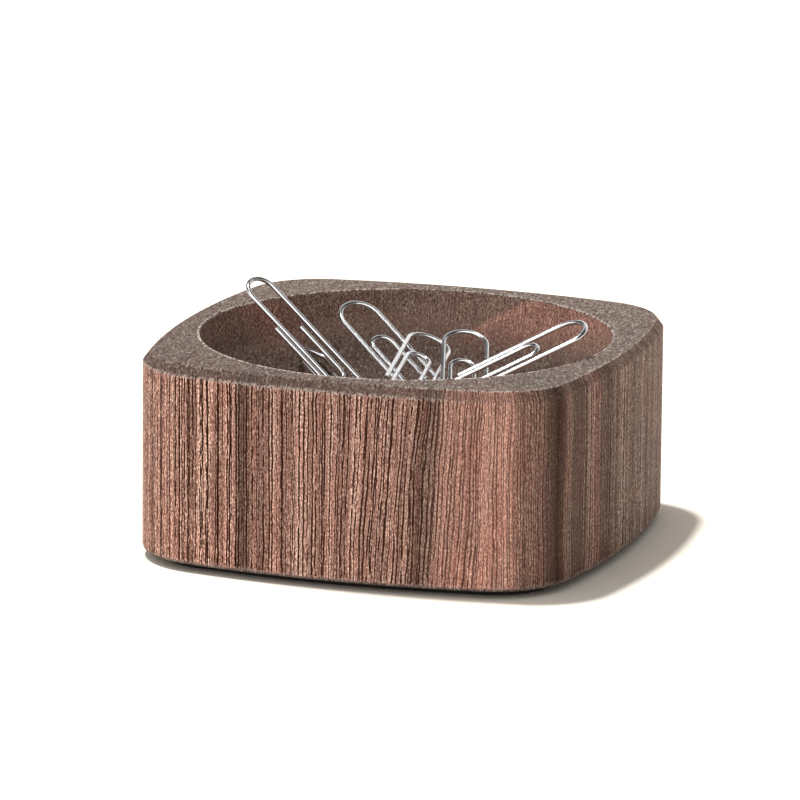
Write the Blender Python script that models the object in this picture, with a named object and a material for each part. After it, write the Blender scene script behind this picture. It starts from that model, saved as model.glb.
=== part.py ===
import math

import bmesh
import bpy
import numpy as np
from mathutils import Matrix, Vector

MM = 0.001

# Bowl turned into the top: a flat floor and a wall that curves up to the rim.
BOWL_RADIUS = 35.0 * MM
BOWL_DEPTH = 15.0 * MM
BOWL_WALL_CURVE = 15.0 * MM
RIM_EASE = 0.4 * MM

# Wooden block, seen from above: a square with bowed sides and round corners.
# The rim is the flat ring between bowl and bevel, measured where it is narrowest.
BLOCK_HEIGHT = 34.0 * MM
RIM_WIDTH = 3.3 * MM
SIDE_BOW_RADIUS = 150.0 * MM
CORNER_RADIUS = 14.5 * MM
BEVEL_WIDTH = 1.3 * MM
BEVEL_DROP = 1.7 * MM
BEVEL_SOFTENING = 0.4 * MM
FOOT_EASE = 0.8 * MM
BLOCK_WIDTH = 2 * (BOWL_RADIUS + RIM_EASE + RIM_WIDTH + BEVEL_WIDTH)

# Rubber pad glued into a shallow recess under the block.
PAD_THICKNESS = 2.0 * MM
PAD_EDGE_EASE = 0.3 * MM
RECESS_DEPTH = 1.0 * MM
RECESS_INSET = 3.0 * MM
GLUE_GAP = 0.3 * MM
PAD_SIDE_CLEARANCE = 0.3 * MM

# One paper clip, lengths measured from the end with the double loop.
WIRE_DIAMETER = 0.8 * MM
CLIP_LENGTH = 33.0 * MM
CLIP_WIDTH = 8.2 * MM
LEG_GAP = 0.45 * MM
INNER_LOOP_WIDTH = 4.9 * MM
INNER_LOOP_SETBACK = 8.8 * MM
OUTER_LEG_END = 23.0 * MM
INNER_LEG_END = 21.0 * MM
CUT_END_EASE = 0.15 * MM

# Gap left where a clip rests on the bowl or on another clip.
SEAT_GAP = 0.3 * MM

# The clips in the order they were put in: name, heading, rise and bank of the long axis in degrees,
# and where the middle of the clip lies in plan, as a share of the bowl's radius.
# The height follows from what the clip rests on.
CLIPS = (
    ("clip_low", 128.0, 8.5, -159.5, -0.429, 0.171),
    ("clip_left", 174.0, 41.5, 169.0, -0.434, -0.12),
    ("clip_middle", -28.0, -31.0, 7.0, -0.029, 0.057),
    ("clip_crossed", -83.0, -8.5, -21.0, 0.086, -0.129),
    ("clip_upright", -72.5, -21.5, -5.0, 0.329, -0.086),
    ("clip_right", -148.5, -24.0, -8.0, 0.589, -0.35),
)

# Fineness of the faceted surfaces.
SIDE_STEPS = 12
CORNER_STEPS = 10
WALL_STEPS = 14
EASE_STEPS = 3
BEND_STEPS = 12
WIRE_SIDES = 12
SEAT_STEP = 0.2 * MM

# Heights above the table.
BLOCK_BOTTOM = PAD_THICKNESS + GLUE_GAP - RECESS_DEPTH
BLOCK_TOP = BLOCK_BOTTOM + BLOCK_HEIGHT
RECESS_TOP = BLOCK_BOTTOM + RECESS_DEPTH
BOWL_FLOOR = BLOCK_TOP - BOWL_DEPTH
WIRE_RADIUS = WIRE_DIAMETER / 2


def clear_scene():
    for obj in list(bpy.data.objects):
        bpy.data.objects.remove(obj, do_unlink=True)


def make_material(name, colour, roughness, metallic):
    mat = bpy.data.materials.new(name)
    mat.use_nodes = True
    shader = mat.node_tree.nodes["Principled BSDF"]
    shader.inputs["Base Color"].default_value = (*colour, 1.0)
    shader.inputs["Roughness"].default_value = roughness
    shader.inputs["Metallic"].default_value = metallic
    return mat


def add_object(name, bm, mat, origin=(0.0, 0.0, 0.0)):
    bmesh.ops.recalc_face_normals(bm, faces=bm.faces)
    mesh = bpy.data.meshes.new(name)
    bm.to_mesh(mesh)
    bm.free()
    mesh.materials.append(mat)
    obj = bpy.data.objects.new(name, mesh)
    obj.location = origin
    bpy.context.scene.collection.objects.link(obj)
    return obj


def block_outline(inset):
    """Plan outline of the block, moved inwards by inset, as a ring of points."""
    half = BLOCK_WIDTH / 2
    reach = SIDE_BOW_RADIUS - half
    gap = SIDE_BOW_RADIUS - CORNER_RADIUS
    corner = (math.sqrt(2 * gap * gap - reach * reach) - reach) / 2
    lean = math.atan2(corner, corner + reach)
    arcs = (
        (-reach, 0.0, SIDE_BOW_RADIUS - inset, -lean, lean, SIDE_STEPS),
        (corner, corner, CORNER_RADIUS - inset, lean, math.pi / 2 - lean, CORNER_STEPS),
    )
    points = []
    for quarter in range(4):
        spin = Matrix.Rotation(quarter * math.pi / 2, 2)
        for cx, cy, radius, start, end, steps in arcs:
            for i in range(steps):
                angle = start + (end - start) * i / steps
                points.append(spin @ Vector((cx + radius * math.cos(angle), cy + radius * math.sin(angle))))
    return points


def soften(corners, steps):
    """Round the corners of an open profile; each corner is (x, z, radius)."""
    profile = []
    for i, (x, z, radius) in enumerate(corners):
        here = Vector((x, z))
        if radius == 0.0 or i in (0, len(corners) - 1):
            profile.append((x, z))
            continue
        before = (Vector(corners[i - 1][:2]) - here).normalized()
        after = (Vector(corners[i + 1][:2]) - here).normalized()
        half_angle = before.angle(after) / 2
        bisector = (before + after).normalized()
        centre = here + bisector * (radius / math.sin(half_angle))
        start = here + before * (radius / math.tan(half_angle)) - centre
        end = here + after * (radius / math.tan(half_angle)) - centre
        for k in range(steps + 1):
            share = k / steps
            mix = (start * (1 - share) + end * share).normalized() * radius
            profile.append((centre.x + mix.x, centre.y + mix.y))
    return profile


def bowl_profile():
    """Radius and height from the flat top over the eased rim, down the wall to the edge of the floor."""
    lip = BOWL_RADIUS + RIM_EASE
    profile = []
    for i in range(EASE_STEPS + 1):
        angle = math.pi / 2 * i / EASE_STEPS
        profile.append((lip - RIM_EASE * math.sin(angle), BLOCK_TOP - RIM_EASE * (1 - math.cos(angle))))
    wall_height = BOWL_DEPTH - RIM_EASE
    for i in range(1, WALL_STEPS + 1):
        angle = math.pi / 2 * i / WALL_STEPS
        radius = BOWL_RADIUS - BOWL_WALL_CURVE * (1 - math.cos(angle))
        profile.append((radius, BLOCK_TOP - RIM_EASE - wall_height * math.sin(angle)))
    return profile


def skin_rings(bm, rings, first_tip, last_tip):
    """Join rings of equal length into a closed skin that ends in a point at each side."""
    loops = []
    for ring in rings:
        loops.append([bm.verts.new(p) for p in ring])
    count = len(loops[0])
    for lower, upper in zip(loops, loops[1:]):
        for i in range(count):
            j = (i + 1) % count
            bm.faces.new((lower[i], lower[j], upper[j], upper[i]))
    for loop, tip in ((loops[0], first_tip), (loops[-1], last_tip)):
        apex = bm.verts.new(tip)
        for i in range(count):
            bm.faces.new((loop[i], loop[(i + 1) % count], apex))


def build_block(mat):
    outer = soften(
        (
            (RECESS_INSET, BLOCK_BOTTOM, 0.0),
            (0.0, BLOCK_BOTTOM, FOOT_EASE),
            (0.0, BLOCK_TOP - BEVEL_DROP, BEVEL_SOFTENING),
            (BEVEL_WIDTH, BLOCK_TOP, BEVEL_SOFTENING),
            (BEVEL_WIDTH * 2, BLOCK_TOP, 0.0),
        ),
        EASE_STEPS,
    )[:-1]
    rings = [[(x, y, RECESS_TOP) for x, y in block_outline(RECESS_INSET)]]
    for inset, z in outer:
        rings.append([(x, y, z) for x, y in block_outline(inset)])
    angles = [math.atan2(y, x) for x, y in block_outline(0.0)]
    for radius, z in bowl_profile():
        rings.append([(radius * math.cos(a), radius * math.sin(a), z) for a in angles])
    bm = bmesh.new()
    skin_rings(bm, rings, (0.0, 0.0, RECESS_TOP), (0.0, 0.0, BOWL_FLOOR))
    return add_object("dish_body", bm, mat)


def build_pad(mat):
    inset = RECESS_INSET + PAD_SIDE_CLEARANCE
    profile = (
        (inset + PAD_EDGE_EASE, 0.0),
        (inset, PAD_EDGE_EASE),
        (inset, PAD_THICKNESS - PAD_EDGE_EASE),
        (inset + PAD_EDGE_EASE, PAD_THICKNESS),
    )
    rings = [[(x, y, z) for x, y in block_outline(d)] for d, z in profile]
    bm = bmesh.new()
    skin_rings(bm, rings, (0.0, 0.0, 0.0), (0.0, 0.0, PAD_THICKNESS))
    return add_object("base_pad", bm, mat)


def clip_path(step):
    """Middle line of the wire, centred on the clip, with the direction to the inside of its bends.

    With a step the points lie no further apart than that, with None a leg has only its ends.
    """
    wide = CLIP_WIDTH - WIRE_DIAMETER
    third_leg = WIRE_DIAMETER + LEG_GAP
    fourth_leg = third_leg + INNER_LOOP_WIDTH - WIRE_DIAMETER
    outer = wide / 2
    far = (wide - third_leg) / 2
    inner = (fourth_leg - third_leg) / 2
    outer_x = WIRE_RADIUS + outer
    far_x = CLIP_LENGTH - WIRE_RADIUS - far
    inner_x = INNER_LOOP_SETBACK + WIRE_RADIUS + inner
    bends = (
        (outer_x, outer, outer, -math.pi / 2),
        (far_x, third_leg + far, far, math.pi / 2),
        (inner_x, third_leg + inner, inner, -math.pi / 2),
    )
    stops = [(Vector((OUTER_LEG_END, 0.0, 0.0)), Vector((0.0, 1.0, 0.0)))]
    for cx, cy, radius, start in bends:
        steps = BEND_STEPS if step is None else max(BEND_STEPS, math.ceil(math.pi * radius / step))
        for i in range(steps + 1):
            angle = start - math.pi * i / steps
            inwards = Vector((-math.cos(angle), -math.sin(angle), 0.0))
            stops.append((Vector((cx, cy, 0.0)) - inwards * radius, inwards))
    stops.append((Vector((INNER_LEG_END, fourth_leg, 0.0)), Vector((0.0, -1.0, 0.0))))
    path = [stops[0]]
    for before, after in zip(stops, stops[1:]):
        parts = 1 if step is None else max(1, math.ceil((after[0] - before[0]).length / step))
        for k in range(1, parts):
            path.append((before[0].lerp(after[0], k / parts), after[1]))
        path.append(after)
    middle = Vector((CLIP_LENGTH / 2, wide / 2, 0.0))
    return [(at - middle, inwards) for at, inwards in path]


def clip_turn(heading, rise, bank):
    return (
        Matrix.Rotation(math.radians(heading), 3, "Z")
        @ Matrix.Rotation(math.radians(-rise), 3, "Y")
        @ Matrix.Rotation(math.radians(bank), 3, "X")
    )


def rest_height(points, profile, laid):
    """Lowest height at which wire with these middle points stays clear of the bowl and the clips below."""
    reach = WIRE_RADIUS + SEAT_GAP
    radii = np.hypot(points[:, 0], points[:, 1])
    apart = np.abs(radii[:, None] - profile[None, :, 0])
    near = apart < reach
    lift = profile[None, :, 1] + np.sqrt(np.maximum(reach**2 - apart**2, 0.0)) - points[:, 2:3]
    height = lift[near].max()
    reach = WIRE_DIAMETER + SEAT_GAP
    for other in laid:
        apart = np.hypot(points[:, None, 0] - other[None, :, 0], points[:, None, 1] - other[None, :, 1])
        near = apart < reach
        if near.any():
            lift = other[None, :, 2] + np.sqrt(np.maximum(reach**2 - apart**2, 0.0)) - points[:, 2:3]
            height = max(height, lift[near].max())
    return height


def seat_profile():
    """Bowl profile from the middle of the floor out over the flat top, as closely spaced points."""
    corners = [(0.0, BOWL_FLOOR)] + bowl_profile()[::-1] + [(BLOCK_WIDTH / 2, BLOCK_TOP)]
    points = []
    for (r0, z0), (r1, z1) in zip(corners, corners[1:]):
        count = max(1, math.ceil(math.dist((r0, z0), (r1, z1)) / (SEAT_STEP / 2)))
        for i in range(count):
            points.append((r0 + (r1 - r0) * i / count, z0 + (z1 - z0) * i / count))
    return np.array(points)


def wire_ring(at, inwards, radius, shift, turn):
    """Ring of points round the wire, moved along it by shift."""
    up = Vector((0.0, 0.0, 1.0))
    middle = at + up.cross(inwards) * shift
    ring = []
    for k in range(WIRE_SIDES):
        angle = 2 * math.pi * k / WIRE_SIDES
        ring.append(turn @ (middle + inwards * (radius * math.cos(angle)) + up * (radius * math.sin(angle))))
    return ring


def build_clip(name, turn, centre, mat):
    path = clip_path(None)
    first, last = path[0], path[-1]
    cut_radius = WIRE_RADIUS - CUT_END_EASE
    rings = [
        wire_ring(*first, cut_radius, 0.0, turn),
        wire_ring(*first, WIRE_RADIUS, CUT_END_EASE, turn),
    ]
    for at, inwards in path[1:-1]:
        rings.append(wire_ring(at, inwards, WIRE_RADIUS, 0.0, turn))
    rings.append(wire_ring(*last, WIRE_RADIUS, -CUT_END_EASE, turn))
    rings.append(wire_ring(*last, cut_radius, 0.0, turn))
    bm = bmesh.new()
    skin_rings(bm, rings, turn @ first[0], turn @ last[0])
    return add_object(name, bm, mat, centre)


def least_wire_gap(points):
    """Least gap between stretches of one clip's wire that aren't next to each other."""
    apart = np.linalg.norm(points[:, None, :] - points[None, :, :], axis=2)
    steps = np.linalg.norm(np.diff(points, axis=0), axis=1)
    along = np.concatenate(([0.0], np.cumsum(steps)))
    far = np.abs(along[:, None] - along[None, :]) > 4 * WIRE_DIAMETER
    return apart[far].min() - WIRE_DIAMETER


def build():
    clear_scene()
    walnut = make_material("walnut", (0.16, 0.08, 0.05), 0.55, 0.0)
    rubber = make_material("rubber", (0.02, 0.02, 0.02), 0.85, 0.0)
    steel = make_material("bright_wire", (0.75, 0.75, 0.76), 0.25, 1.0)
    build_block(walnut)
    build_pad(rubber)
    profile = seat_profile()
    middle_line = [at for at, inwards in clip_path(SEAT_STEP)]
    print("least gap in a clip's wire", round(least_wire_gap(np.array(middle_line)) / MM, 2), "mm")
    laid = []
    for name, heading, rise, bank, right, back in CLIPS:
        turn = clip_turn(heading, rise, bank)
        x = right * BOWL_RADIUS
        y = back * BOWL_RADIUS
        points = np.array([turn @ p for p in middle_line]) + np.array((x, y, 0.0))
        z = rest_height(points, profile, laid)
        laid.append(points + np.array((0.0, 0.0, z)))
        build_clip(name, turn, (x, y, z), steel)
        print(name, "rests with its middle", round(z / MM, 2), "mm above the table")


build()
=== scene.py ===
import math

import bpy
from mathutils import Matrix, Vector


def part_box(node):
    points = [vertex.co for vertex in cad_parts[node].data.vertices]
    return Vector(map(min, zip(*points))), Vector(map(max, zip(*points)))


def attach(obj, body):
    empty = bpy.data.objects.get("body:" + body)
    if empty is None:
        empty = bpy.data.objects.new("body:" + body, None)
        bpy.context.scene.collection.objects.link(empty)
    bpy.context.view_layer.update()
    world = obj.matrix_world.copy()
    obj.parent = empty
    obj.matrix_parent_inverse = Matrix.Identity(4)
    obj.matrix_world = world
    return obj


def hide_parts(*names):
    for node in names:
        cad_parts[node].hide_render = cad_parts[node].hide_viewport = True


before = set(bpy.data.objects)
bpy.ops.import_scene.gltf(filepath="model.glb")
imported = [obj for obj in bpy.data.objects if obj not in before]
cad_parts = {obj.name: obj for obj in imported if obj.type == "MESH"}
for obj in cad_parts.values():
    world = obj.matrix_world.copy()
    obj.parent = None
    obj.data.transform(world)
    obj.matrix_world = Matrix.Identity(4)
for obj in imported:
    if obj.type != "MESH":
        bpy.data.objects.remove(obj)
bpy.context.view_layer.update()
print("stage: frame loaded,", len(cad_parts), "solids")

mm = 0.001


# Node trees: one class wraps a socket, so that shader and geometry maths read as plain formulas.
class Tap:
    def __init__(self, tree, socket=None):
        self.tree = tree
        self.socket = socket

    def make(self, kind, settings=None, sockets=None, out=0):
        node = self.tree.nodes.new(kind)
        for name, value in (settings or {}).items():
            if name == "stops":
                fillRamp(node.color_ramp, value)
            else:
                setattr(node, name, value)
        for key, value in (sockets or {}).items():
            if isinstance(value, Tap):
                self.tree.links.new(value.socket, node.inputs[key])
            else:
                node.inputs[key].default_value = value
        return Tap(self.tree, node.outputs[out])

    def other(self, out):  # another output of the same node
        return Tap(self.tree, self.socket.node.outputs[out])

    def maths(self, operation, *values):  # with no values it works on this socket
        return self.make("ShaderNodeMath", {"operation": operation}, dict(enumerate(values or (self,))))

    def __add__(self, value):
        return self.maths("ADD", self, value)

    def __radd__(self, value):
        return self.maths("ADD", value, self)

    def __sub__(self, value):
        return self.maths("SUBTRACT", self, value)

    def __rsub__(self, value):
        return self.maths("SUBTRACT", value, self)

    def __mul__(self, value):
        return self.maths("MULTIPLY", self, value)

    def __rmul__(self, value):
        return self.maths("MULTIPLY", value, self)

    def __truediv__(self, value):
        return self.maths("DIVIDE", self, value)

    def __pow__(self, value):
        return self.maths("POWER", self, value)

    def __gt__(self, value):
        return self.maths("GREATER_THAN", self, value)

    def __mod__(self, value):
        return self.maths("FLOORED_MODULO", self, value)

    def ease(self, low, high, start=0.0, end=1.0):  # smooth step between two values
        kind = {"interpolation_type": "SMOOTHSTEP"}
        return self.make("ShaderNodeMapRange", kind, {0: self, 1: low, 2: high, 3: start, 4: end})

    def swell(self, rise, fall):  # from 0 to 1 over the first range and back over the second
        return self.ease(*rise) * (1 - self.ease(*fall))

    def blend(self, first, second, mode="MIX"):  # colours mixed by this value
        kind = {"data_type": "RGBA", "blend_type": mode}
        return self.make("ShaderNodeMix", kind, {0: self, 6: first, 7: second}, out=2)


def fillRamp(ramp, stops):
    while len(ramp.elements) > 1:
        ramp.elements.remove(ramp.elements[-1])
    for i, (place, colour) in enumerate(stops):
        stop = ramp.elements[0] if i == 0 else ramp.elements.new(place)
        stop.position = place
        stop.color = colour


def tone(red, green, blue):  # screen colour, 0 to 255, to the linear one that sockets take
    def linear(part):
        part = part / 255
        return part / 12.92 if part <= 0.04045 else ((part + 0.055) / 1.055) ** 2.4

    return (linear(red), linear(green), linear(blue), 1.0)


def newFinish(name):
    finish = bpy.data.materials.new(name)
    finish.use_nodes = True
    finish.node_tree.nodes.clear()
    return finish, Tap(finish.node_tree)


def closeFinish(start, shader):
    node = start.tree.nodes.new("ShaderNodeOutputMaterial")
    start.tree.links.new(shader.socket, node.inputs["Surface"])


def stretched(start, x, y, z):  # object coordinates in cycles per axis
    return start.make("ShaderNodeCombineXYZ", sockets={0: x, 1: y, 2: z})


def noise(start, place, detail=2.0, roughness=0.5):
    sockets = {"Vector": place, "Scale": 1.0, "Detail": detail, "Roughness": roughness}
    return start.make("ShaderNodeTexNoise", sockets=sockets)


def patches(start, scale, detail):  # noise with its scale in cycles per metre
    place = start.make("ShaderNodeTexCoord", out="Object")
    spot = start.make("ShaderNodeVectorMath", {"operation": "SCALE"}, {0: place, 3: scale})
    return noise(start, spot, detail)


def bumped(start, height, strength, depth):  # depth in metres
    return start.make("ShaderNodeBump", sockets={"Strength": strength, "Distance": depth, "Height": height})


# Walnut. The trunk's axis runs along Z: lines on the sides, dots on top.
walnut = {
    "side": 80.0,  # mm to each side of the block
    "tones": {  # screen colours of the wood
        "rosy": (202, 147, 130),
        "russet": (185, 135, 120),
        "brown": (148, 109, 96),
        "umber": (110, 84, 74),
        "dark": (93, 71, 62),
        "ash": (161, 129, 115),
        "dun": (134, 106, 93),
    },
    "bands": (  # mm walked round from the front's middle, tone of the wood there, strength of its lines
        (-80, "russet", 0.9),
        (-36, "rosy", 1.0),
        (-17.2, "rosy", 1.0),
        (-16.2, "umber", 1.0),
        (-15.5, "umber", 1.0),
        (-14.6, "brown", 1.0),
        (-11.5, "russet", 0.95),
        (11.5, "russet", 0.95),
        (16.2, "brown", 0.9),
        (18.4, "umber", 0.85),
        (19.2, "russet", 0.75),
        (22, "rosy", 0.7),
        (33.6, "rosy", 0.6),
        (37, "brown", 0.7),
        (42.7, "brown", 0.7),
        (44.5, "umber", 0.6),
        (47, "dark", 0.5),
        (49.6, "dark", 0.5),
        (50.8, "brown", 0.6),
        (52.4, "dun", 0.6),
        (55, "umber", 0.6),
        (57.6, "umber", 0.6),
        (59.4, "ash", 0.8),
        (64.4, "russet", 0.8),
        (65.8, "umber", 0.7),
        (69.5, "dun", 0.8),
        (74, "ash", 0.85),
        (100, "ash", 0.85),
        (125, "russet", 0.9),
        (158, "brown", 0.9),
        (185, "russet", 0.9),
        (240, "russet", 0.9),
    ),
    "bowlBandsAndLight": (  # the same for the bowl's wall, in mm across the rings: wood figure, and from 8.5 to 31 a painted pool of key light on the right wall
        (-48, "ash", 0.26),
        (-43.5, "ash", 0.26),
        (-39.5, "russet", 0.26),
        (-34, "ash", 0.24),
        (6.5, "ash", 0.24),
        (8.5, "rosy", 0.26),
        (12, "russet", 0.26),
        (22, "russet", 0.26),
        (31, "ash", 0.26),
        (44, "ash", 0.26),
    ),
    "bowlShift": 9.0,  # mm that these bands lie to the right
    "bowlLean": (-0.6, 1.9),  # mm that they shift for each mm of depth, at the bowl's left and right, so that the painted light's edge leans like the rim's shadow edge
    "bowlSpan": (-28.0, 12.0),  # mm across the rings, where the lean goes from the one to the other
    "bowlShadeTone": (86, 73, 66),  # painted shade on the bottom of the bowl
    "rosyTint": (1.02, 0.87, 0.85, 1.0),
    "rosyRange": (0.45, 0.7),  # noise from none of the tint to all of it
    "rosyShare": 0.6,
    "endSheenTone": (110, 98, 91),  # the end grain's own tone, greyed for a painted sheen; painted light makes it paler towards the back
    "endLitTone": (125, 111, 103),
    "endTurn": 0.6,  # how much the way to the painted light's side turns to the right
    "endRange": (-60.0, 30.0),  # mm along that way
    "endShare": 0.92,  # how much of the end grain's tone covers the side's
    "poreTone": (54, 22, 9),
    "fibreGain": (1.95, 2.4, 2.4, 1.0),  # how much lighter the pale fibres are
    # painted highlights along the bevel's edges, the foot's edge and the bowl's lip
    "wearAndGlintTone": (240, 222, 210),
    "bevelShadeGain": (0.66, 0.64, 0.63, 1.0),  # painted shade: how much darker the bevel is
    "noises": {  # cycles per mm along three axes, detail, roughness
        "sway": ((0.05, 0.05, 0.03), 1.0, 0.5),
        "ripple": ((0.25, 0.25, 0.07), 1.0, 0.5),
        "shiver": ((0.7, 0.7, 0.22), 1.0, 0.5),
        "hue": ((0.4, 0.4, 0.06), 2.0, 0.5),
        "coarse": ((6.2, 3.1, 2.4), 0.0, 0.5),
        "dotted": ((3.4, 1.0, 2.2), 1.0, 0.5),
        "mottle": ((1.9, 1.9, 0.9), 3.0, 0.75),
        "rings": ((2.2, 0.12, 0.05), 3.0, 0.7),
    },
    "wander": 0.4,  # how much of the next three moves is used
    "moves": (3.0, 1.6, 0.4),  # mm that sway, ripple and shiver move the grain
    "movesInY": (0.8, 0.5),  # shares of that move and of the ripple along Y
    "ringLean": 7.0,  # degrees from X to the way the growth rings follow each other across the block
    "ringSway": 2.0,  # mm that the sway moves the rings
    "slant": 0.075,  # mm that the dark streak on the front leans for each mm of height
    "slantRise": (0.0, 13.0),  # mm walked round, where the lean sets in and where it ends
    "slantFall": (20.0, 33.0),
    "slantHeight": 19.0,  # mm, where the streak keeps its place
    "lines": {  # lines to a side, half widths in mm of the thinnest and the thickest, start of the draws
        "fine": (100.0, 0.085, 0.15, -108.0),
        "bold": (41.0, 0.06, 0.165, 259.5),
        "broad": (17.0, 0.3, 1.0, 683.5),
    },
    "stray": 0.55,  # share of its room in which a line's place is drawn
    "wiggle": 0.5,  # mm of room in which a line wiggles
    "wiggleNoise": (5.3, 9.5, 0.35),  # place in the noise: steps from line to line, fixed, per mm of height
    "breakNoise": (3.7, 0.5, 0.16),
    "breaks": (0.35, 0.5, 0.15, 1.15),  # range of noise, and how much of its width a line has over it
    "lineEdge": (0.7, 1.15),  # half widths from the middle of a dark line to its soft edge
    "haloRise": (1.0, 1.5),  # and to the pale line on each side of it
    "haloFall": (1.9, 2.7),
    "pores": (0.42, 70.0, 0.12, 0.46),  # mm across and along, thinnest and thickest as shares of the first
    "poreEdge": (0.6, 1.1),
    "poreShare": (0.35, 0.2),  # on side grain, and what end grain adds
    "bevelRise": (0.12, 0.4),  # how far a face looks up, from 0 to 1, where bevel begins and ends
    "bevelFall": (0.7, 0.9),
    "endTilt": (0.12, 0.5),  # the same where side grain turns to end grain
    "bowlTilt": (0.1, 0.7),  # and in the bowl
    "fibrousRise": (5.0, 30.0),  # mm walked round, where the bevel turns to side grain and back
    "fibrousFall": (95.0, 130.0),
    "bevelSide": (0.1, 0.7),  # share of side grain on the bevel, and what that turn adds
    "tide": (0.3, 0.2, 0.3, 0.8),  # parts of fine lines, bold lines, mottle and rings in light and dark
    "dusk": (0.3, 0.5),  # ranges over which dark patches end and light ones begin
    "dawn": (0.5, 0.7),
    "fleckRange": (0.04, 0.2),
    "speckle": (0.6, 0.65, 0.42),  # strength of flecks on side grain, on end grain and added in the bowl
    "bevelEdge": 33.6,  # mm, height of the edge under the bevel
    "bevelFade": (0.05, 0.45),  # mm from that edge over which its painted highlight fades
    "bevelGlint": (0.5, 0.45),  # strength of that line, and what it loses where the bevel is side grain
    "browEdge": 34.95,  # mm, height just under the edge above the bevel
    "browFade": (0.0, 0.2),
    "browTilt": (0.85, 0.97),  # how far a face looks up, where that line ends
    "browGlint": (0.15, 0.5),  # strength, and what it gains where the bevel is side grain
    "footEdge": 2.0,  # mm, height of the foot's edge
    "footFade": (0.05, 0.35),
    "footGlint": 0.25,
    "edgeReach": 37.0,  # mm from the middle, past the rim's inner part
    "lipRadius": 35.3,  # mm, radius of the bowl's lip
    "lipHeight": 34.6,  # mm, a height just under the lip
    "lipWidth": (0.2, 0.9, 0.25, 0.75),  # range towards the front, and the width in mm of the lip's painted highlight over it
    "lipFade": (0.4, 1.1),
    "lipGlint": (-0.5, 0.5, 0.6, 1.0),  # range towards the front, and the lip's strength over it
    "glintFlecks": (-0.12, 0.1),  # flecks that break the painted highlights up
    "bowlFloor": 19.0,  # mm, a height just under the bowl
    "topHeight": 35.3,  # mm
    "shares": {  # how much of each layer of colour is laid on
        "dusk": 0.4,
        "broad": 0.42,
        "dawn": 0.24,
        "halo": 0.5,
        "fleck": 1.5,
        "pore": 0.8,
        "bevel": 0.9,
        "worn": 0.8,
    },
    "relief": (0.6, 0.4, 0.8),  # height of flecks, depth of pores and of dark lines
    "bump": (0.35, 0.00007),  # strength, and depth in metres
    "roughness": 0.58,
    "roughParts": (0.08, 0.12, 0.2),  # what end grain, pores and flecks add
    "specular": 0.03,
}


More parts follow.
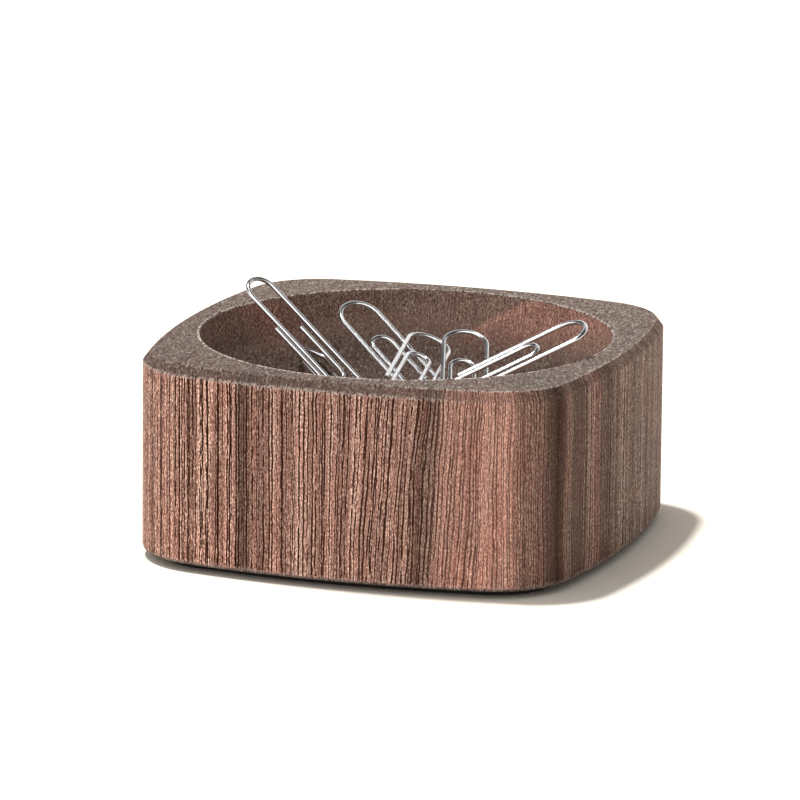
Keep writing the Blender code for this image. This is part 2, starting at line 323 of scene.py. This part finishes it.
def walnutFinish():
    finish, start = newFinish("walnut")
    place = start.make("ShaderNodeTexCoord", out="Object")
    parts = start.make("ShaderNodeSeparateXYZ", sockets={0: place})
    x, y, z = parts / mm, parts.other(1) / mm, parts.other(2) / mm

    def grained(name, first, second):  # one of the wood's noises, 0 to 1
        pace, detail, roughness = walnut["noises"][name]
        spot = stretched(start, first * pace[0], second * pace[1], z * pace[2])
        return noise(start, spot, detail, roughness)

    sway, ripple, shiver = (grained(name, x, y) - 0.5 for name in ("sway", "ripple", "shiver"))
    moves, movesInY = walnut["moves"], walnut["movesInY"]
    drift = (sway * moves[0] + ripple * moves[1] + shiver * moves[2]) * walnut["wander"]
    u, v = x + drift, y + drift * movesInY[0] + ripple * movesInY[1]

    lean = math.radians(walnut["ringLean"])
    across = u * math.cos(lean) + v * math.sin(lean) + sway * walnut["ringSway"]
    along = v * math.cos(lean) - u * math.sin(lean)

    # sides walked round the block: bands and lines are counted along it, a whole number of lines to a side
    turn = y.maths("ARCTAN2", v, u)
    fold = (turn + math.pi / 4) % (math.pi / 2) - math.pi / 4
    upright = ((turn - fold) / (math.pi / 2)).maths("ROUND") + fold.maths("TANGENT") * 0.5
    streak = (upright + 1) * walnut["side"]
    slant = streak.swell(walnut["slantRise"], walnut["slantFall"]) * walnut["slant"]
    walked = streak - (z - walnut["slantHeight"]) * slant  # mm from the front's middle
    walk = walked / walnut["side"]

    def banded(bands, place):  # colour and strength of the lines, from a list of bands
        low, high = bands[0][0], bands[-1][0]
        shades = {name: tone(*shade)[:3] for name, shade in walnut["tones"].items()}
        stops = [((at - low) / (high - low), (*shades[shade], lines)) for at, shade, lines in bands]
        return start.make("ShaderNodeValToRGB", {"stops": stops}, {0: (place - low) / (high - low)})

    normal = start.make("ShaderNodeNewGeometry", out="Normal")
    upward = start.make("ShaderNodeSeparateXYZ", sockets={0: normal}, out=2).maths("ABSOLUTE")
    reach = (x * x + y * y).maths("SQRT")
    high = z > walnut["bowlFloor"]
    inBowl = (1 - (reach > walnut["lipRadius"])) * high
    outside = banded(walnut["bands"], walked)
    leaning = across.ease(*walnut["bowlSpan"], *walnut["bowlLean"])
    # the bowl's wall takes bands of wood figure with a painted pool of key light on its right side
    wall = banded(walnut["bowlBandsAndLight"], across + (walnut["topHeight"] - z) * leaning - walnut["bowlShift"])
    vigour = outside.other("Alpha") + inBowl * (wall.other("Alpha") - outside.other("Alpha"))

    # the bevel cuts the ends on the left, and more and more along the fibres towards the right
    bevel = upward.swell(walnut["bevelRise"], walnut["bevelFall"]) * (1 - inBowl) * high
    fibrous = walked.swell(walnut["fibrousRise"], walnut["fibrousFall"])
    bevelSide = walnut["bevelSide"]
    endGrain = upward.ease(*walnut["endTilt"]) * (1 - bevel * (bevelSide[0] + fibrous * bevelSide[1]))
    endGrain = endGrain + inBowl * (upward.ease(*walnut["bowlTilt"]) - endGrain)
    sideGrain = 1 - endGrain
    hue = grained("hue", u, v).ease(*walnut["rosyRange"])
    side = (hue * walnut["rosyShare"]).blend(outside, walnut["rosyTint"], "MULTIPLY")
    side = inBowl.blend(side, wall)
    # painted light and sheen: the end grain turns paler towards the back and the right
    litShare = (x * walnut["endTurn"] + y).ease(*walnut["endRange"])
    endsAndLight = litShare.blend(tone(*walnut["endSheenTone"]), tone(*walnut["endLitTone"]))
    # painted shade: the bowl's end grain, its bottom and lower wall, turns dark
    endsAndLight = inBowl.blend(endsAndLight, tone(*walnut["bowlShadeTone"]))
    base = (endGrain * walnut["endShare"]).blend(side, endsAndLight)

    def ruled(name):  # dark lines, each with its own place, width and breaks, and pale ones beside them
        count, thin, thick, first = walnut["lines"][name]
        phase = walk * count
        cell = phase.maths("FLOOR")
        draw = start.make(
            "ShaderNodeTexWhiteNoise", {"noise_dimensions": "1D"}, {"W": cell + first}, out="Color"
        )
        lot = start.make("ShaderNodeSeparateColor", sockets={0: draw})
        step, fixed, rise = walnut["wiggleNoise"]
        wiggle = noise(start, stretched(start, cell * step + first, fixed, z * rise), detail=2.0) - 0.5
        off = (phase - cell - 0.5 - (lot - 0.5) * walnut["stray"]) * (walnut["side"] / count)
        off = (off + wiggle * walnut["wiggle"]).maths("ABSOLUTE")
        step, fixed, rise = walnut["breakNoise"]
        spot = stretched(start, cell * step + first, fixed, z * rise)
        breaks = noise(start, spot, detail=3.0, roughness=0.7).ease(*walnut["breaks"])
        width = lot.other(1).ease(0.0, 1.0, thin, thick) * breaks
        ratio = off / width
        dark = 1 - ratio.ease(*walnut["lineEdge"])
        pale = ratio.swell(walnut["haloRise"], walnut["haloFall"])
        return dark, pale, lot.other(2)

    coarse = grained("coarse", u, v) - 0.5
    dotted = grained("dotted", across, along) - 0.5
    fleck = coarse + endGrain * (dotted - coarse)
    mottle = grained("mottle", u, v) - 0.5
    fineDark, finePale, column = ruled("fine")
    boldDark, boldPale, plank = ruled("bold")
    broadDark = ruled("broad")[0]
    lineMask = sideGrain * vigour
    darkLine = boldDark.maths("MAXIMUM", boldDark, fineDark) * lineMask
    lightLine = boldPale.maths("MAXIMUM", boldPale, finePale) * lineMask
    rings = grained("rings", across, along) - 0.5
    tide = walnut["tide"]
    swing = 0.5 + ((column - 0.5) * tide[0] + (plank - 0.5) * tide[1]) * sideGrain
    swing = swing + mottle * tide[2] + rings * endGrain * tide[3]
    dusk, dawn = 1 - swing.ease(*walnut["dusk"]), swing.ease(*walnut["dawn"])
    paleFleck, darkFleck = fleck.ease(*walnut["fleckRange"]), (fleck * -1).ease(*walnut["fleckRange"])

    # pores along the trunk, each with its own width
    gap, length, thin, thick = walnut["pores"]
    space = stretched(start, u / gap, v / gap, z / length)
    near = start.make("ShaderNodeTexVoronoi", sockets={"Vector": space, "Scale": 1.0})
    draw = start.make("ShaderNodeSeparateColor", sockets={0: near.other("Color")})
    pore = 1 - (near / draw.ease(0.0, 1.0, thin, thick)).ease(*walnut["poreEdge"])
    pore = pore * (walnut["poreShare"][0] + walnut["poreShare"][1] * endGrain)

    # painted highlights at the two edges of the bevel, at the foot's edge and at the bowl's lip
    bevelEdge = 1 - (z - walnut["bevelEdge"]).maths("ABSOLUTE").ease(*walnut["bevelFade"])
    brow = (z - walnut["browEdge"]).ease(*walnut["browFade"]) * (1 - upward.ease(*walnut["browTilt"]))
    brow = brow * (1 - inBowl)
    foot = 1 - (z - walnut["footEdge"]).maths("ABSOLUTE").ease(*walnut["footFade"])
    bevelGlint, browGlint = walnut["bevelGlint"], walnut["browGlint"]
    edges = bevelEdge * (bevelGlint[0] - fibrous * bevelGlint[1])
    edges = edges + brow * (browGlint[0] + fibrous * browGlint[1]) + foot * walnut["footGlint"]
    forward = y / reach * -1
    lip = (reach - walnut["lipRadius"]).maths("ABSOLUTE") / forward.ease(*walnut["lipWidth"])
    lip = (1 - lip.ease(*walnut["lipFade"])) * forward.ease(*walnut["lipGlint"])
    worn = edges * (reach > walnut["edgeReach"]) + lip * (z > walnut["lipHeight"])
    worn = worn * (fleck + mottle).ease(*walnut["glintFlecks"])

    onSide, onEnds, onBowl = walnut["speckle"]
    speckle = onSide * vigour * sideGrain + onEnds * endGrain + inBowl * sideGrain * onBowl
    poreTone, fibreGain, shares = tone(*walnut["poreTone"]), walnut["fibreGain"], walnut["shares"]
    layers = (
        (dusk * vigour * shares["dusk"], poreTone, "MIX"),
        (broadDark * lineMask * shares["broad"], poreTone, "MIX"),
        (darkFleck * speckle, poreTone, "MIX"),
        (dawn * vigour * shares["dawn"], fibreGain, "MULTIPLY"),
        (lightLine * shares["halo"], fibreGain, "MULTIPLY"),
        (paleFleck * speckle * shares["fleck"], fibreGain, "MULTIPLY"),
        (darkLine, poreTone, "MIX"),
        (pore * vigour * shares["pore"], poreTone, "MIX"),
        # painted shade on the bevel
        (bevel * shares["bevel"], walnut["bevelShadeGain"], "MULTIPLY"),
        # painted highlights along the edges and the lip
        (worn * shares["worn"], tone(*walnut["wearAndGlintTone"]), "MIX"),
    )
    wood = base
    for amount, colour, mode in layers:
        wood = amount.blend(wood, colour, mode)

    relief, roughParts = walnut["relief"], walnut["roughParts"]
    height = fleck * relief[0] - pore * relief[1] - darkLine * relief[2]
    rough = walnut["roughness"] + endGrain * roughParts[0] + pore * roughParts[1] + fleck * roughParts[2]
    shader = start.make(
        "ShaderNodeBsdfPrincipled",
        sockets={
            "Base Color": wood,
            "Roughness": rough,
            "Normal": bumped(start, height, *walnut["bump"]),
            "Specular IOR Level": walnut["specular"],
        },
    )
    closeFinish(start, shader)
    return finish


# Bright drawn wire.
wire = {
    "tone": tone(236, 236, 238),
    "wearAndGlintTone": tone(218, 217, 215),
    "wornRange": (0.35, 0.7),
    "cloud": 900.0,  # cycles per metre of the worn patches and of the grain
    "grain": 5200.0,
    "roughness": 0.13,
    "wornRough": 0.1,
    "grainRough": 0.06,
    "bump": (0.12, 0.00002),  # strength, and depth in metres
}


def wireFinish():
    finish, start = newFinish("brightWire")
    cloud = patches(start, wire["cloud"], detail=3.0)
    grain = patches(start, wire["grain"], detail=2.0)
    worn = cloud.ease(*wire["wornRange"])
    shader = start.make(
        "ShaderNodeBsdfPrincipled",
        sockets={
            "Base Color": worn.blend(wire["tone"], wire["wearAndGlintTone"]),
            "Metallic": 1.0,
            "Roughness": wire["roughness"] + worn * wire["wornRough"] + grain * wire["grainRough"],
            "Normal": bumped(start, grain + cloud, *wire["bump"]),
        },
    )
    closeFinish(start, shader)
    return finish


# Dark rubber of the pad.
rubber = {
    "tone": tone(40, 35, 32),
    "bloom": tone(56, 50, 46),
    "bloomRange": (0.4, 0.75),
    "cloud": 120.0,  # cycles per metre of the bloom and of the grain
    "grain": 2600.0,
    "roughness": 0.75,
    "grainRough": 0.2,
    "bump": (0.4, 0.00005),  # strength, and depth in metres
}


def rubberFinish():
    finish, start = newFinish("rubber")
    cloud = patches(start, rubber["cloud"], detail=4.0)
    grain = patches(start, rubber["grain"], detail=3.0)
    shader = start.make(
        "ShaderNodeBsdfPrincipled",
        sockets={
            "Base Color": cloud.ease(*rubber["bloomRange"]).blend(rubber["tone"], rubber["bloom"]),
            "Roughness": rubber["roughness"] + grain * rubber["grainRough"],
            "Normal": bumped(start, grain, *rubber["bump"]),
        },
    )
    closeFinish(start, shader)
    return finish


finishes = {"walnut": walnutFinish(), "bright_wire": wireFinish(), "rubber": rubberFinish()}
print("stage: finishes mixed,", len(finishes))


# Geometry node trees and how a piece comes out of one.
def newForm(name, inputs):
    tree = bpy.data.node_groups.new(name, "GeometryNodeTree")
    tree.interface.new_socket("Geometry", in_out="INPUT", socket_type="NodeSocketGeometry")
    for label, kind in inputs:
        tree.interface.new_socket(label, in_out="INPUT", socket_type="NodeSocket" + kind)
    tree.interface.new_socket("Geometry", in_out="OUTPUT", socket_type="NodeSocketGeometry")
    return Tap(tree, tree.nodes.new("NodeGroupInput").outputs[0])


def closeForm(given, geometry):
    whole = given.make("GeometryNodeRealizeInstances", sockets={0: geometry})
    sockets = {0: whole, "Material": given.other("Material")}
    coloured = given.make("GeometryNodeSetMaterial", sockets=sockets)
    last = given.tree.nodes.new("NodeGroupOutput")
    given.tree.links.new(coloured.socket, last.inputs[0])
    return given.tree


def filleted(given):  # the given line with its corners bent, each by its own radius
    sockets = {
        "Curve": given,
        "Count": given.other("Bend Steps"),
        "Radius": given.make("GeometryNodeInputRadius"),
        "Limit Radius": True,
    }
    return given.make("GeometryNodeFilletCurve", {"mode": "POLY"}, sockets)


def bentLine(name, corners):  # straight lines through corners, each (place, radius of the bend there)
    line = bpy.data.curves.new(name, "CURVE")
    line.dimensions = "3D"
    spline = line.splines.new("POLY")
    spline.points.add(len(corners) - 1)
    for point, (place, radius) in zip(spline.points, corners):
        point.co = (*place, 1.0)
        point.radius = radius
    return line


def addObject(name, data):
    thing = bpy.data.objects.new(name, data)
    bpy.context.scene.collection.objects.link(thing)
    return thing


def shownMesh(thing):  # its mesh with all modifiers applied
    return bpy.data.meshes.new_from_object(thing.evaluated_get(bpy.context.evaluated_depsgraph_get()))


def formPiece(name, line, tree, values, finisher, settings):
    draft = addObject(name + "Draft", line)
    form = draft.modifiers.new("form", "NODES")
    form.node_group = tree
    for item in tree.interface.items_tree:
        if item.in_out == "INPUT" and item.name in values:
            form[item.identifier] = values[item.name]
    mesh = shownMesh(draft)
    bpy.data.objects.remove(draft)
    piece = addObject(name, mesh)
    last = piece.modifiers.new(finisher.lower(), finisher)
    for setting, value in settings.items():
        setattr(last, setting, value)
    smooth = shownMesh(piece)
    piece.modifiers.clear()
    piece.data = smooth
    bpy.data.meshes.remove(mesh)
    smooth.name = name
    return piece


weldGap = 0.000002  # metres between points that become one


# A section carried round the bowed square. Where it is nearer the middle than Round Inside, it is carried
# round in true circles, as the bowl is.
def turnedForm():
    given = newForm(
        "carriedRound",
        (
            ("Half Width", "Float"),
            ("Bow Radius", "Float"),
            ("Corner Radius", "Float"),
            ("Corner Centre", "Float"),
            ("Round Inside", "Float"),
            ("Bend Steps", "Int"),
            ("Steps Round", "Int"),
            ("Material", "Material"),
        ),
    )
    half, bow = given.other("Half Width"), given.other("Bow Radius")
    corner, centre = given.other("Corner Radius"), given.other("Corner Centre")
    steps = given.other("Steps Round")
    section = filleted(given)
    rows = given.make("GeometryNodeAttributeDomainSize", {"component": "CURVE"}, {0: section})
    grid = given.make("GeometryNodeMeshGrid", sockets={"Vertices X": steps + 1, "Vertices Y": rows})
    index = given.make("GeometryNodeInputIndex")
    row = index % rows
    turn = ((index - row) / rows) / steps * (2 * math.pi)
    here = given.make(
        "GeometryNodeSampleIndex",
        {"data_type": "FLOAT_VECTOR", "domain": "POINT"},
        {"Geometry": section, "Value": given.make("GeometryNodeInputPosition"), "Index": row},
    )
    parts = given.make("ShaderNodeSeparateXYZ", sockets={0: here})
    reach, height = parts, parts.other(2)

    quarter = math.pi / 2
    fold = ((turn + quarter / 2) % quarter - quarter / 2).maths("ABSOLUTE")
    cosine, sine = fold.maths("COSINE"), fold.maths("SINE")
    inset = half - reach
    bowCentre = bow - half
    bowed = bow - inset
    onSide = (bowed * bowed - (bowCentre * sine) ** 2.0).maths("SQRT") - bowCentre * cosine
    rounded = corner - inset
    offAxis = centre * (cosine - sine)
    onCorner = centre * (cosine + sine) + (rounded * rounded - offAxis * offAxis).maths("SQRT")
    meet = centre.maths("ARCTAN2", centre, centre + bowCentre)
    meetX, meetY = centre + rounded * meet.maths("COSINE"), centre + rounded * meet.maths("SINE")
    inCorner = fold > centre.maths("ARCTAN2", meetY, meetX)
    outline = onSide + inCorner * (onCorner - onSide)
    inOutline = reach > given.other("Round Inside")
    radius = reach + inOutline * (outline - reach)
    spot = given.make(
        "ShaderNodeCombineXYZ",
        sockets={0: radius * turn.maths("COSINE"), 1: radius * turn.maths("SINE"), 2: height},
    )
    placed = given.make("GeometryNodeSetPosition", sockets={"Geometry": grid, "Position": spot})
    joined = given.make("GeometryNodeMergeByDistance", sockets={"Geometry": placed, "Distance": weldGap})
    smooth = given.make("GeometryNodeSetShadeSmooth", sockets={"Geometry": joined})
    return closeForm(given, smooth)


carriedRound = turnedForm()
evenNormals = {"mode": "FACE_AREA", "weight": 100}

block = {
    "bowRadius": 150.0 * mm,
    "cornerRadius": 14.5 * mm,
    "bevelWidth": 1.3 * mm,
    "bevelDrop": 1.7 * mm,
    "bevelEase": 0.35 * mm,
    "footEase": 0.8 * mm,
    "recessInset": 3.0 * mm,
    "recessDepth": 1.0 * mm,
    "recessEase": 0.2 * mm,
    "bowlRadius": 35.0 * mm,
    "bowlDepth": 15.0 * mm,
    "rimEase": 0.4 * mm,
    "roundMargin": 0.6 * mm,  # past the bowl's radius, still carried round in circles
    "bendSteps": 7,
    "stepsRound": 384,
}


def cornerCentre(half):
    reach = block["bowRadius"] - half
    gap = block["bowRadius"] - block["cornerRadius"]
    return (math.sqrt(2 * gap * gap - reach * reach) - reach) / 2


def outlineValues(half, roundInside, bendSteps, finish):
    return {
        "Half Width": half,
        "Bow Radius": block["bowRadius"],
        "Corner Radius": block["cornerRadius"],
        "Corner Centre": cornerCentre(half),
        "Round Inside": roundInside,
        "Bend Steps": bendSteps,
        "Steps Round": block["stepsRound"],
        "Material": finish,
    }


def buildBlock():
    low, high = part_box("dish_body")
    half, bottom, top = high.x, low.z, high.z
    recess = half - block["recessInset"]
    floor = top - block["bowlDepth"]
    bowl = block["bowlRadius"]
    corners = (
        ((0, 0, bottom + block["recessDepth"]), 0),
        ((recess, 0, bottom + block["recessDepth"]), 0),
        ((recess, 0, bottom), block["recessEase"]),
        ((half, 0, bottom), block["footEase"]),
        ((half, 0, top - block["bevelDrop"]), block["bevelEase"]),
        ((half - block["bevelWidth"], 0, top), block["bevelEase"]),
        ((bowl, 0, top), block["rimEase"]),
        ((bowl, 0, floor), block["bowlDepth"] - block["rimEase"]),
        ((0, 0, floor), 0),
    )
    line = bentLine("blockSection", corners)
    values = outlineValues(half, bowl + block["roundMargin"], block["bendSteps"], finishes["walnut"])
    return formPiece("walnutBlock", line, carriedRound, values, "WEIGHTED_NORMAL", evenNormals)


pad = {
    "ease": 0.3 * mm,
    "roundInside": 10 * mm,
    "bendSteps": 3,
}


def buildPad():
    low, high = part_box("base_pad")
    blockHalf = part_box("dish_body")[1].x
    corners = (
        ((0, 0, low.z), 0),
        ((high.x, 0, low.z), pad["ease"]),
        ((high.x, 0, high.z), pad["ease"]),
        ((0, 0, high.z), 0),
    )
    line = bentLine("padSection", corners)
    values = outlineValues(blockHalf, pad["roundInside"], pad["bendSteps"], finishes["rubber"])
    return formPiece("rubberPad", line, carriedRound, values, "WEIGHTED_NORMAL", evenNormals)


walnutBlock = buildBlock()
rubberPad = buildPad()
print("stage: block and pad carried round,", len(walnutBlock.data.polygons), "faces")


# Wire swept along a bent line.
def wireForm():
    given = newForm(
        "bentWire",
        (
            ("Wire Diameter", "Float"),
            ("Bend Steps", "Int"),
            ("Steps Round", "Int"),
            ("Turn", "Rotation"),
            ("Material", "Material"),
        ),
    )
    even = given.make("GeometryNodeSetCurveRadius", sockets={"Curve": filleted(given), "Radius": 1.0})
    ring = given.make(
        "GeometryNodeCurvePrimitiveCircle",
        {"mode": "RADIUS"},
        {"Resolution": given.other("Steps Round"), "Radius": given.other("Wire Diameter") / 2},
    )
    swept = given.make(
        "GeometryNodeCurveToMesh", sockets={"Curve": even, "Profile Curve": ring, "Fill Caps": True}
    )
    smooth = given.make("GeometryNodeSetShadeSmooth", sockets={"Geometry": swept})
    sockets = {"Geometry": smooth, "Rotation": given.other("Turn")}
    return closeForm(given, given.make("GeometryNodeTransform", sockets=sockets))


bentWire = wireForm()

clip = {
    "wire": 0.8 * mm,
    "length": 33.0 * mm,
    "width": 8.2 * mm,
    "legGap": 0.45 * mm,
    "innerWidth": 4.9 * mm,
    "innerSetback": 8.8 * mm,
    "outerLegEnd": 23.0 * mm,
    "innerLegEnd": 21.0 * mm,
    "cutEase": 0.1 * mm,
    "cutSteps": 2,
    "cutAngle": 1.0,  # radians between faces from which an edge is eased
    "bendSteps": 12,
    "stepsRound": 20,
    "lie": {  # heading, rise and bank of the long axis, in degrees
        "clip_low": (128.0, 8.5, -159.5),
        "clip_left": (174.0, 41.5, 169.0),
        "clip_middle": (-28.0, -31.0, 7.0),
        "clip_crossed": (-83.0, -8.5, -21.0),
        "clip_upright": (-72.5, -21.5, -5.0),
        "clip_right": (-148.5, -24.0, -8.0),
    },
}


def clipLine():
    near, far = clip["wire"] / 2, clip["length"] - clip["wire"] / 2
    second = clip["width"] - clip["wire"]
    third = clip["wire"] + clip["legGap"]
    fourth = third + clip["innerWidth"] - clip["wire"]
    inner = clip["innerSetback"] + clip["wire"] / 2
    bends = (second / 2, (second - third) / 2, (fourth - third) / 2)
    corners = (
        ((clip["outerLegEnd"], 0, 0), 0),
        ((near, 0, 0), bends[0]),
        ((near, second, 0), bends[0]),
        ((far, second, 0), bends[1]),
        ((far, third, 0), bends[1]),
        ((inner, third, 0), bends[2]),
        ((inner, fourth, 0), bends[2]),
        ((clip["innerLegEnd"], fourth, 0), 0),
    )
    return bentLine("clipLine", corners)


def buildClip(node, lie):
    heading, rise, bank = (math.radians(angle) for angle in lie)
    values = {
        "Wire Diameter": clip["wire"],
        "Bend Steps": clip["bendSteps"],
        "Steps Round": clip["stepsRound"],
        "Turn": (bank, -rise, heading),
        "Material": finishes["bright_wire"],
    }
    cut = {
        "width": clip["cutEase"],
        "segments": clip["cutSteps"],
        "limit_method": "ANGLE",
        "angle_limit": clip["cutAngle"],
    }
    name = "wire" + "".join(word.capitalize() for word in node.split("_"))
    piece = formPiece(name, clipLine(), bentWire, values, "BEVEL", cut)
    spots = [vertex.co for vertex in piece.data.vertices]
    low = Vector(min(spot[i] for spot in spots) for i in range(3))
    high = Vector(max(spot[i] for spot in spots) for i in range(3))
    nodeLow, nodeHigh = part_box(node)
    piece.data.transform(Matrix.Translation((nodeLow + nodeHigh - low - high) / 2))
    return piece


clipPieces = {node: buildClip(node, lie) for node, lie in clip["lie"].items()}
print("stage: clips bent,", len(clipPieces))


# Floor, light and camera.
studio = {
    "floorTone": (0.93, 0.905, 0.865, 1.0),
    "floorSeen": (1.21, 1.14, 1.01, 1.0),  # the floor as the camera sees it, up to white where it is lit
    "floorSize": 8.0,  # metres
    "sky": 0.43,
    "skyTilt": (-0.45, -0.4),  # more light from the left and the front
    "roomSides": 0.06,  # the dark sides of the room that the wire mirrors
    "softbox": 1.5,  # and the bright front of it
    "frontEdge": (0.2, 0.7),  # where that front begins, and the back of the room
    "backEdge": (0.5, 0.85),
    "keyStrength": 2.35,
    "keyElevation": 77.0,  # degrees
    "keyTravel": (0.996, -0.087),  # the way its light goes across the floor
    "keyAngle": 4.0,  # degrees that the lamp is wide
}


def floorFinish():
    finish, start = newFinish("studioFloor")
    ray = start.make("ShaderNodeLightPath", out="Is Camera Ray")
    colour = ray.blend(studio["floorTone"], studio["floorSeen"])
    closeFinish(start, start.make("ShaderNodeBsdfDiffuse", sockets={"Color": colour}))
    return finish


def buildFloor():
    half = studio["floorSize"] / 2
    corners = [(-half, -half, 0), (half, -half, 0), (half, half, 0), (-half, half, 0)]
    mesh = bpy.data.meshes.new("studioFloor")
    mesh.from_pydata(corners, [], [(0, 1, 2, 3)])
    mesh.materials.append(floorFinish())
    floor = addObject("studioFloor", mesh)


def buildWorld():
    world = bpy.data.worlds.new("studio")
    world.use_nodes = True
    world.node_tree.nodes.clear()
    start = Tap(world.node_tree)
    way = start.make("ShaderNodeTexCoord", out="Generated")
    parts = start.make("ShaderNodeSeparateXYZ", sockets={0: way})
    x, y = parts, parts.other(1)
    tilt = studio["skyTilt"]
    sky = (1 + x * tilt[0] + y * tilt[1]) * studio["sky"]
    front, back = (y * -1).ease(*studio["frontEdge"]), y.ease(*studio["backEdge"])
    room = studio["roomSides"] + front.maths("MAXIMUM", front * studio["softbox"], back)
    ray = start.make("ShaderNodeLightPath", out="Is Camera Ray")
    mirrored = ray.maths("MAXIMUM", ray.other("Is Glossy Ray"), ray.other("Is Transmission Ray"))
    strength = sky + mirrored * (room - sky)
    strength = strength + ray * (1 - strength)
    glow = start.make("ShaderNodeBackground", sockets={"Color": (1, 1, 1, 1), "Strength": strength})
    node = world.node_tree.nodes.new("ShaderNodeOutputWorld")
    world.node_tree.links.new(glow.socket, node.inputs["Surface"])
    bpy.context.scene.world = world


def buildLights():
    key = bpy.data.lights.new("key", "SUN")
    key.energy = studio["keyStrength"]
    key.angle = math.radians(studio["keyAngle"])
    lamp = addObject("key", key)
    slope = math.radians(studio["keyElevation"])
    across = Vector(studio["keyTravel"]).normalized() * math.cos(slope)
    way = Vector((across.x, across.y, -math.sin(slope)))
    lamp.rotation_euler = way.to_track_quat("-Z", "Y").to_euler()


photo = {
    "size": 800,
    "lens": 7797.0,  # in pixels
    "sensor": 36.0,  # mm
    "nearest": 0.05,  # metres that the camera sees from and to
    "farthest": 50.0,
    "distance": 1.325,  # metres
    "heading": 18.6,  # degrees that the camera stands round to the right of the front
    "down": 12.65,  # degrees that it looks down, and that it is rolled
    "roll": -0.55,
    "topCentre": (406.0, 333.0),  # where the middle of the top plane lies in the picture
}


def buildCamera():
    cam = bpy.data.cameras.new("photoCamera")
    cam.sensor_width = photo["sensor"]
    cam.lens = photo["lens"] / photo["size"] * cam.sensor_width
    cam.clip_start = photo["nearest"]
    cam.clip_end = photo["farthest"]
    camera = addObject("photoCamera", cam)
    heading, down = math.radians(photo["heading"]), math.radians(photo["down"])
    level = math.cos(down)
    forward = Vector((-math.sin(heading) * level, math.cos(heading) * level, -math.sin(down)))
    right = Vector((math.cos(heading), math.sin(heading), 0))
    up = right.cross(forward)
    spin = Matrix.Rotation(math.radians(photo["roll"]), 3, forward)
    right, up = spin @ right, spin @ up
    top = Vector((0, 0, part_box("dish_body")[1].z))
    middle = photo["size"] / 2
    offX = (photo["topCentre"][0] - middle) / photo["lens"] * photo["distance"]
    offY = (middle - photo["topCentre"][1]) / photo["lens"] * photo["distance"]
    spot = top - forward * photo["distance"]
    aim = top - right * offX - up * offY - spot
    back = -aim.normalized()
    sideways = up.cross(back).normalized()
    turn = Matrix((sideways, back.cross(sideways), back)).transposed()
    camera.matrix_world = Matrix.Translation(spot) @ turn.to_4x4()
    bpy.context.scene.camera = camera


buildFloor()
buildWorld()
buildLights()
buildCamera()
bpy.context.scene.view_settings.view_transform = "Standard"
print("stage: floor, light and camera set")

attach(walnutBlock, "dish")
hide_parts("dish_body")
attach(rubberPad, "dish")
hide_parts("base_pad")
for node, piece in clipPieces.items():
    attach(piece, node)
    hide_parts(node)

print("stage: pieces ride on their bodies")
